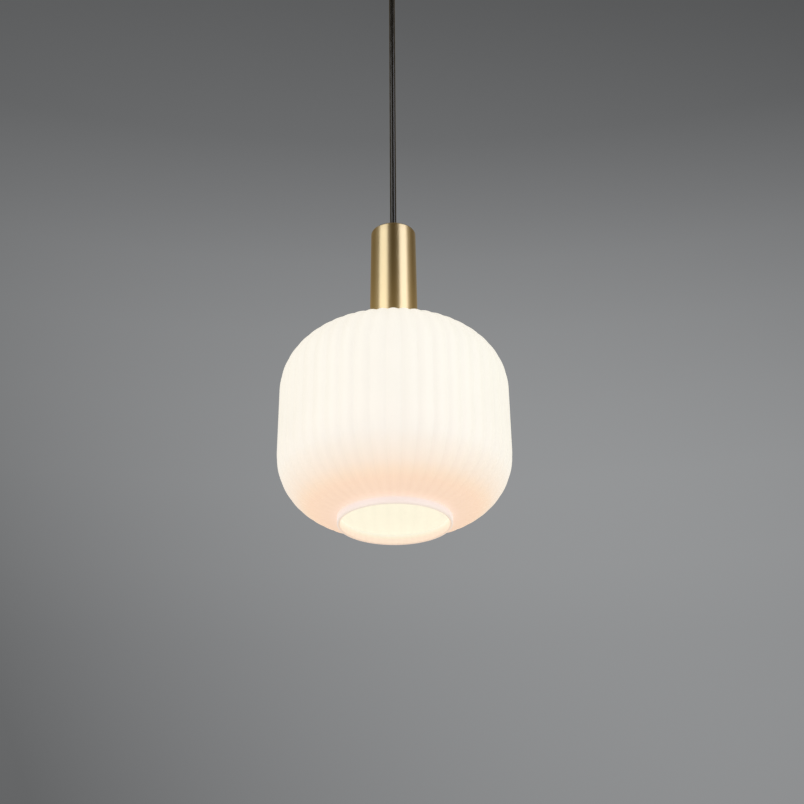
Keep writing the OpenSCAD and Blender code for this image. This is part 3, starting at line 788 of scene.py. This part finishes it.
def make_canopy_screws():
    """Two knurled thumb screws with slotted heads, one each side of the cup."""
    low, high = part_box("canopy_screws")
    head_r = high.y
    head_h = 3 * MM
    head_low = high.x - head_h
    tip = 40 * MM
    shank_r = 2 * MM
    pitch = 0.7 * MM
    outline = refined(rounded([
        (0, tip, 0), (shank_r - 0.3 * MM, tip, 0), (shank_r, tip + 0.4 * MM, 0), (shank_r, head_low, 0),
        (head_r - 0.1 * MM, head_low, 0.25 * MM), (head_r - 0.1 * MM, high.x, 0.5 * MM), (0, high.x, 0),
    ]), 0.2 * MM)

    def relief(r, z, angle):
        knurl = np.cos(36 * angle) * band(z, head_low + 0.5 * MM, high.x - 0.7 * MM, 0.2 * MM)
        on_shank = (r > 1.9 * MM) & (r < 2.1 * MM) & (z < head_low - 0.6 * MM)
        cut = 0.22 * MM * (thread_wave(z, angle, pitch) - 1)
        return np.where(on_shank, cut, 0.1 * MM * knurl * smooth_step(r, 3.6 * MM, 3.85 * MM))

    screws = []
    for turn in (1, -1):
        screw = revolved("thumb_screw", outline, [LOOKS["brass"]], segments=144, relief=relief, radial=True)
        cut_out(screw, block((0, 0, high.x), (0.8 * MM, 12 * MM, 2.0 * MM)))
        sideways = Matrix.Rotation(turn * math.pi / 2, 4, "Y")
        screw.data.transform(Matrix.Translation((0, 0, SIDE_SCREW_Z)) @ sideways)
        screws.append(screw)
    settle(joined("knurled_thumb_screws", screws), "ceiling_mount", "brass", "canopy_screws")


def make_bracket():
    """Pressed strip with two bent ears, two fixing slots and a screw hole for the earth wire."""
    low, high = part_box("ceiling_bracket")
    half = high.x
    thick = 2 * MM
    bend_r = 2.6 * MM
    profile = rounded([
        (-half, low.z, 0.3 * MM), (-half, 0, bend_r), (half, 0, bend_r), (half, low.z, 0.3 * MM),
        (half - thick, low.z, 0.3 * MM), (half - thick, -thick, bend_r - thick),
        (thick - half, -thick, bend_r - thick), (thick - half, low.z, 0.3 * MM),
    ], steps=7)
    piece = prism(profile, (0, 0, 0), (0, 1, 0), high.y - low.y)
    piece.name = "zinc_bracket"
    piece.data.materials.append(LOOKS["zinc_steel"])
    slot_l, slot_w = 16 * MM, 4.6 * MM
    through = 12 * MM
    cutters = [
        rod((0, 0, SIDE_SCREW_Z), (1, 0, 0), M4_HOLE, 2.2 * half),
        rod((10 * MM, 0, 0), (0, 0, 1), M4_HOLE, through),
    ]
    for side in (1, -1):
        middle = side * SLOT_SPACING / 2
        cutters.append(block((middle, 0, 0), (slot_l - slot_w, slot_w, through)))
        for end in (1, -1):
            cutters.append(rod((middle + end * (slot_l - slot_w) / 2, 0, 0), (0, 0, 1), slot_w / 2, through))
    cut_out(piece, *cutters)
    soften(piece, 0.2 * MM)
    settle(piece, "ceiling_mount", "zinc_steel", "ceiling_bracket")


def make_cord_grip():
    """Moulded grip: threaded stem up into the cup, ribbed collar and a bell mouth for the flex."""
    low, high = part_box("cord_grip")
    r = high.y
    bore = CABLE_DIAMETER / 2 + 0.05 * MM
    stem = 5 * MM
    cup_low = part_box("canopy")[0].z
    mouth = 7 * MM
    flare_top = low.z + 7 * MM
    screw_z = low.z + 10 * MM
    bell = [(mouth - (mouth - bore) * math.sin(a), flare_top - (flare_top - low.z) * math.cos(a))
            for a in np.linspace(0, math.pi / 2, 14)]
    corners = [(bore, high.z, 0), (stem, high.z, 0.3 * MM), (stem, cup_low, 0), (r, cup_low, 0.4 * MM),
               (r, low.z, 1.5 * MM)] + [(a, b, 0) for a, b in bell]
    outline = refined(rounded(corners, steps=7), 0.3 * MM)

    def relief(radius, z, angle):
        on_stem = (radius > 4.9 * MM) & (radius < 5.1 * MM) & (z > cup_low + 0.3 * MM)
        ribbed = band(z, low.z + 5 * MM, cup_low - 1.5 * MM, 0.4 * MM)
        grooves = np.clip(np.cos(24 * angle), 0, 1) ** 2 * ribbed
        off_screw = np.abs(np.arctan2(np.sin(angle), np.cos(angle)))
        beside_screw = smooth_step(off_screw, 0.30, 0.36)
        collar = -0.3 * MM * grooves * beside_screw * smooth_step(radius, 8 * MM, 8.4 * MM)
        return np.where(on_stem, 0.25 * MM * (thread_wave(z, angle, 1 * MM) - 1), collar)

    piece = revolved("flex_grip", outline, [LOOKS["black_nylon"]], segments=288, relief=relief, radial=True)
    cut_out(piece, rod((r, 0, screw_z), (1, 0, 0), M3_HOLE, 2 * (r - bore) + 0.6 * MM))
    settle(piece, "ceiling_cup", "black_nylon", "cord_grip")


make_canopy()
make_canopy_screws()
make_bracket()
make_cord_grip()


# ---- Lampholder, shade ring and bulb ----

RING_PITCH = 2.5 * MM
BULB_PITCH = 3.629 * MM


def make_shade_ring():
    """Ring nut with finger grooves round its edge and a coarse thread inside."""
    low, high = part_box("shade_ring")
    bore = 20.3 * MM
    r = 28.5 * MM
    grooves = 24
    top = high.z - CLAMP_GAP
    outline = refined(rounded([
        (bore, top, 0.3 * MM), (r, top, 0.4 * MM), (r, high.z - 3 * MM, 0.8 * MM),
        (r - 3 * MM, low.z, 0.6 * MM), (bore, low.z, 0.3 * MM),
    ]), 0.4 * MM)

    def relief(radius, z, angle):
        off = np.remainder(angle * grooves / TURN + 0.5, 1) - 0.5
        across = off * TURN / grooves * r
        groove = np.sqrt(np.maximum(0, (1.3 * MM) ** 2 - across ** 2)) * 0.7
        threaded = band(z, low.z + MM, high.z - MM, 0.5 * MM)
        thread = 0.45 * MM * (1 - thread_wave(z, angle, RING_PITCH)) * threaded
        rim = smooth_step(radius, r - 3.6 * MM, r - 2.4 * MM)
        return np.where(radius < bore + 0.2 * MM, thread, -groove * rim)

    piece = revolved("grooved_shade_ring", outline, [LOOKS["ivory_plastic"]], segments=grooves * 20,
                     relief=relief, radial=True)
    settle(piece, "shade_ring", "ivory_plastic", "shade_ring")


def make_holder_body():
    """Moulded lampholder body with a coarse thread on its skirt."""
    low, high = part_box("holder_body")
    flange_low = SHADE_TOP + 1 * MM
    flange_top = flange_low + 3 * MM
    shoulder = SHADE_TOP + 8.6 * MM
    skirt, lip, bore = 20 * MM, 14.6 * MM, 15 * MM
    barrel, cap_bore = 20.5 * MM, 16.8 * MM
    outline = refined(rounded([
        (lip, low.z, 0.2 * MM), (skirt - MM, low.z, 0.3 * MM), (skirt, low.z + MM, 0.2 * MM),
        (skirt, flange_low, 0), (high.y, flange_low, 0.3 * MM), (high.y, flange_top, 0.4 * MM),
        (barrel, flange_top, 0), (barrel, high.z, 0.3 * MM),
        (cap_bore, high.z, 0.2 * MM), (cap_bore, shoulder, 0),
        (bore, shoulder, 0), (bore, low.z + 2 * MM, 0.2 * MM), (lip, low.z + 2 * MM, 0.2 * MM),
    ]), 0.4 * MM)

    def relief(radius, z, angle):
        on_skirt = (radius > skirt - 0.1 * MM) & (radius < skirt + 0.1 * MM) & (z < flange_low - 0.2 * MM)
        thread = 0.5 * MM * (thread_wave(z, angle, RING_PITCH) - 1)
        return np.where(on_skirt, thread * band(z, low.z + 1.4 * MM, flange_low - 2 * MM, MM), 0)

    piece = revolved("lampholder_body", outline, [LOOKS["black_bakelite"]], segments=240,
                     relief=relief, radial=True)
    settle(piece, "lamp", "black_bakelite", "holder_body")


def make_bulb_cap():
    """Rolled screw cap with a plain foot."""
    low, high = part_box("bulb_cap")
    foot = high.y
    crest = 13.2 * MM
    wall = 0.5 * MM
    foot_top = low.z + 3 * MM
    contact_hole = 4 * MM
    outline = refined(rounded([
        (foot, low.z, 0.15 * MM), (foot, foot_top, 0.3 * MM), (crest, foot_top + 0.2 * MM, 0.2 * MM),
        (crest, high.z, 1.2 * MM), (contact_hole, high.z, 0), (contact_hole, high.z - wall, 0),
        (crest - wall, high.z - wall, 0.8 * MM), (crest - wall, low.z, 0),
    ]), 0.35 * MM)

    def relief(radius, z, angle):
        rolled = band(z, foot_top + MM, high.z - 3 * MM, 1.2 * MM) * smooth_step(radius, 11 * MM, 12.5 * MM)
        return 0.7 * MM * (thread_wave(z, angle, BULB_PITCH) - 1) * rolled

    piece = revolved("bulb_screw_cap", outline, [LOOKS["nickel"]], segments=200, relief=relief, radial=True)
    settle(piece, "bulb", "nickel", "bulb_cap")


def make_bulb():
    """Smooth white body that flares down to a frosted globe."""
    body_low, body_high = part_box("bulb_body")
    globe_low, globe_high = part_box("bulb_globe")
    neck = 13.6 * MM
    flare = 1.3
    hole = 9 * MM
    wall = 1.2 * MM
    r = body_high.y
    t = np.linspace(0, 1, 40)
    outer = np.stack([neck + (r - neck) * np.sin(t * math.pi / 2) ** flare,
                      body_high.z + (body_low.z - body_high.z) * t], axis=1)
    inner = outer[:0:-1] - np.array([wall, 0])
    wire_hole = np.array([[hole, inner[-1, 1]], [hole, body_high.z]])
    shell = np.concatenate([outer, inner, wire_hole])
    body = revolved("bulb_shell", shell, [LOOKS["white_plastic"]], segments=144)
    settle(body, "bulb", "white_plastic", "bulb_body")

    a = np.linspace(0, math.pi / 2, 32)
    r = globe_high.y
    height = globe_high.z - globe_low.z
    outside = np.stack([r * np.cos(a), globe_high.z - height * np.sin(a)], axis=1)
    inside = np.stack([(r - wall) * np.cos(a), globe_high.z - (height - wall) * np.sin(a)], axis=1)[::-1]
    globe = revolved("frosted_globe", np.concatenate([outside, inside]), [BULB_GLOBE], segments=144)
    settle(globe, "bulb", "bulb_diffuser", "bulb_globe")


make_shade_ring()
make_holder_body()
make_bulb_cap()
make_bulb()


# ---- Floor ----

FLOOR_Z = -1.75
FLOOR_RADIUS = 60


def add_floor():
    """A wide, plain pale floor far under the lamp."""
    bpy.ops.mesh.primitive_circle_add(vertices=96, radius=FLOOR_RADIUS, fill_type="NGON",
                                      location=(0, 0, FLOOR_Z))
    floor = bpy.context.object
    floor.name = "floor"
    material, tree, shader, place = new_look("look_floor")
    cloud = noise(tree, place, 3.0, 4, 0.5)
    shade = tinted(tree, (0.78, 0.775, 0.765), between(tree, cloud, 0.3, 0.7, 0.98, 1.0))
    tree.links.new(shade, shader.inputs["Base Color"])
    tree.links.new(between(tree, cloud, 0.3, 0.7, 0.75, 0.85), shader.inputs["Roughness"])
    floor.data.materials.append(material)


add_floor()


# ---- Light ----

SOFTBOX_DISTANCE = 2.0
SOFTBOX_HEIGHT = 2.8
SOFTBOX_MIDDLE_Z = 0.2


def add_softbox(name, azimuth, width, radiance, colour, in_gloss=True):
    """An upright soft light round the lamp; azimuth 0 is in front, towards the camera."""
    light = bpy.data.lights.new(name, "AREA")
    light.shape = "RECTANGLE"
    light.size = width
    light.size_y = SOFTBOX_HEIGHT
    light.energy = radiance * math.pi * width * SOFTBOX_HEIGHT
    light.color = colour
    softbox = bpy.data.objects.new(name, light)
    angle = math.radians(azimuth)
    softbox.location = (
        SOFTBOX_DISTANCE * math.sin(angle),
        -SOFTBOX_DISTANCE * math.cos(angle),
        SOFTBOX_MIDDLE_Z,
    )
    softbox.rotation_euler = (math.pi / 2, 0, angle)
    softbox.visible_camera = False
    softbox.visible_glossy = in_gloss
    bpy.context.scene.collection.objects.link(softbox)


add_softbox("softbox_left", -51.4, 1.70, 1.07, (1.0, 1.0, 1.01))
add_softbox("softbox_right", 51.2, 1.50, 1.17, (1.0, 1.01, 1.12))
add_softbox("fill_left", -92, 1.4, 0.40, (1.0, 0.95, 0.60), in_gloss=False)
add_softbox("fill_right", 86, 1.4, 0.56, (0.68, 1.0, 0.55), in_gloss=False)

# The backdrop's grey by the height that is looked at (the sine of its elevation)
BACKDROP = [
    (0.00, 0.200), (0.28, 0.264), (0.33, 0.284), (0.39, 0.2945), (0.44, 0.285), (0.49, 0.265),
    (0.535, 0.231), (0.564, 0.197), (0.609, 0.148), (0.70, 0.100), (1.00, 0.060),
]
BACKDROP_TINT = (0.981, 1.0, 1.02)
# Below this height the backdrop is brighter on the right, and above it on the left
BALANCE_HEIGHT = 0.565
SIDE_SLOPE = 3.0
SIDE_FALL = 2.1
DARKEST_SHARE = 0.55
AMBIENT = 0.28

# What gloss and metal show of the studio, by azimuth in degrees: 0 is in front, 90 on the right
REFLECTED = [
    (-180, (0.240, 0.205, 0.150)), (-125, (0.150, 0.112, 0.055)), (-105, (0.150, 0.120, 0.072)),
    (-90, (0.240, 0.205, 0.145)), (-74, (0.090, 0.072, 0.040)), (-24, (0.130, 0.105, 0.065)),
    (-9, (0.055, 0.036, 0.008)), (9, (0.055, 0.036, 0.008)), (24, (0.140, 0.115, 0.070)),
    (62, (0.110, 0.090, 0.060)), (74, (0.420, 0.370, 0.300)), (88, (0.220, 0.180, 0.115)),
    (112, (0.100, 0.072, 0.034)), (150, (0.190, 0.160, 0.115)), (180, (0.240, 0.205, 0.150)),
]


def make_backdrop():
    """A grey studio: a lit backdrop behind the light, brighter low on the right, and a dark
    room in front of it, which gloss and metal show. Matt faces get an even soft light."""
    world = bpy.data.worlds.new("studio")
    bpy.context.scene.world = world
    world.use_nodes = True
    tree = world.node_tree
    tree.nodes.clear()
    direction = tree.nodes.new("ShaderNodeTexCoord").outputs["Generated"]
    x, y, z = add_node(tree, "ShaderNodeSeparateXYZ", {0: direction}).outputs[:3]
    greys = ramp(tree, z, [(place, tuple(grey * c for c in BACKDROP_TINT)) for place, grey in BACKDROP])
    slope = calculate(tree, "MULTIPLY", calculate(tree, "SUBTRACT", BALANCE_HEIGHT, z), SIDE_SLOPE)
    fall = calculate(tree, "MULTIPLY", calculate(tree, "MULTIPLY", x, x), -SIDE_FALL)
    across = calculate(tree, "ADD", calculate(tree, "MULTIPLY", x, slope), fall)
    level = calculate(tree, "MAXIMUM", calculate(tree, "ADD", across, 1.0), DARKEST_SHARE)
    seen = tinted(tree, greys, level)

    azimuth = calculate(tree, "ARCTAN2", x, calculate(tree, "MULTIPLY", y, -1.0))
    turn = between(tree, azimuth, -math.pi, math.pi, 0, 1)
    mirrored = ramp(tree, turn, [((degrees + 180) / 360, colour) for degrees, colour in REFLECTED])

    path = tree.nodes.new("ShaderNodeLightPath")
    backdrop = add_node(tree, "ShaderNodeBackground", {"Color": seen, "Strength": 1.0})
    ambient = add_node(tree, "ShaderNodeBackground", {"Color": (1, 1, 1, 1), "Strength": AMBIENT})
    in_mirror = add_node(tree, "ShaderNodeBackground", {"Color": mirrored, "Strength": 1.0})
    on_object = add_node(tree, "ShaderNodeMixShader", {
        0: path.outputs["Is Glossy Ray"], 1: ambient.outputs[0], 2: in_mirror.outputs[0]})
    whole = add_node(tree, "ShaderNodeMixShader", {
        0: path.outputs["Is Camera Ray"], 1: on_object.outputs[0], 2: backdrop.outputs[0]})
    add_node(tree, "ShaderNodeOutputWorld", {0: whole.outputs[0]})


make_backdrop()
bpy.context.scene.view_settings.view_transform = "Standard"
